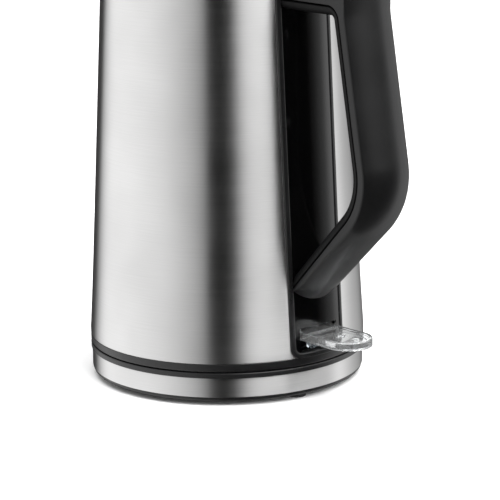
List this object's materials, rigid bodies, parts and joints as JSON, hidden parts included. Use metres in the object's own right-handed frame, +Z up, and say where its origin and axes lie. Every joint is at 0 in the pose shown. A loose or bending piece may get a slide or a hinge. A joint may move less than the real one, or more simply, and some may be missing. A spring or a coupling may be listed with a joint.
{
  "type": "electric kettle",
  "caption": "Cordless electric kettle with a brushed steel body, D-shaped handle, hinged lid, clear on and off lever and a round power base that it lifts off and turns on.",
  "frame": {"origin": "on the power base's axis, at the surface its feet stand on", "axes": "+Z up, handle towards +X, spout towards -X, +Y across; the kettle is seated on its base"},
  "size_m": [0.2137, 0.1504, 0.239],
  "materials": {
    "aluminium": "satin",
    "black_plastic": "satin",
    "brass": "polished",
    "clear_plastic": "gloss",
    "control_plastic": "satin",
    "gloss_black": "gloss",
    "lamp": "gloss",
    "rubber": "matte",
    "silicone": "satin",
    "soft_grey": "matte",
    "steel": "satin",
    "steel_plain": "satin",
    "wire": "satin"
  },
  "bodies": {
    "power_base": {"base_top_plate": "black_plastic", "base_steel_band": "steel", "base_bottom_cover": "black_plastic", "base_connector_post": "black_plastic", "base_connector_cap": "black_plastic", "base_contacts": "brass", "base_feet": "rubber", "base_screws": "steel_plain", "base_wiring": "wire", "cord_gland": "rubber"},
    "coupler": {"kettle_coupler": "black_plastic", "coupler_earth_pin": "brass", "coupler_ring_contacts": "brass"},
    "kettle": {"body_shell": "steel", "inner_pot": "steel_plain", "heating_plate": "steel_plain", "heat_spreader": "aluminium", "heating_element": "steel_plain", "pot_seal": "silicone", "bottom_ring": "black_plastic", "bottom_cover": "black_plastic", "control_unit": "control_plastic", "bimetal_discs": "steel_plain", "control_wiring": "wire", "indicator_lamp": "lamp", "lever_bracket": "black_plastic", "lever_pivot_pin": "steel_plain", "spine_frame": "soft_grey", "spine_panel": "gloss_black", "handle_shell": "soft_grey", "handle_cover": "black_plastic", "handle_cover_screws": "steel_plain", "handle_mount_screws": "steel_plain", "chassis_screws": "steel_plain", "top_collar": "black_plastic", "spout": "black_plastic", "spout_filter_frame": "control_plastic", "spout_filter_mesh": "steel_plain", "steam_duct": "control_plastic", "hinge_pin": "steel_plain", "button_spring": "steel_plain"},
    "power_lever": {"power_lever": "clear_plastic", "trip_arm": "black_plastic"},
    "lid": {"lid_cover": "black_plastic", "lid_insert": "steel", "lid_plug": "black_plastic", "lid_seal": "silicone", "lid_catch": "steel_plain"},
    "lid_button": {"lid_button": "soft_grey", "button_hook": "steel_plain"}
  },
  "joints": [
    {"name": "kettle_lift", "type": "slide", "parent": "power_base", "child": "coupler", "axis": [0, 0, 1], "range_m": [0, 0.057]},
    {"name": "kettle_swivel", "type": "hinge", "parent": "coupler", "child": "kettle", "pos_m": [0, 0, 0.0304], "axis": [0, 0, 1], "continuous": true},
    {"name": "power_lever_tilt", "type": "hinge", "parent": "kettle", "child": "power_lever", "pos_m": [0.065, 0, 0.0346], "axis": [0, 1, 0], "range_deg": [0, 12]},
    {"name": "lid_hinge", "type": "hinge", "parent": "kettle", "child": "lid", "pos_m": [0.05, 0, 0.2356], "axis": [0, 1, 0], "range_deg": [0, 78]},
    {"name": "lid_button_press", "type": "slide", "parent": "kettle", "child": "lid_button", "axis": [0, 0, -1], "range_m": [0, 0.0035], "stiffness_N_per_m": 900, "springref_m": -0.002, "deforming": ["button_spring"]}
  ]
}
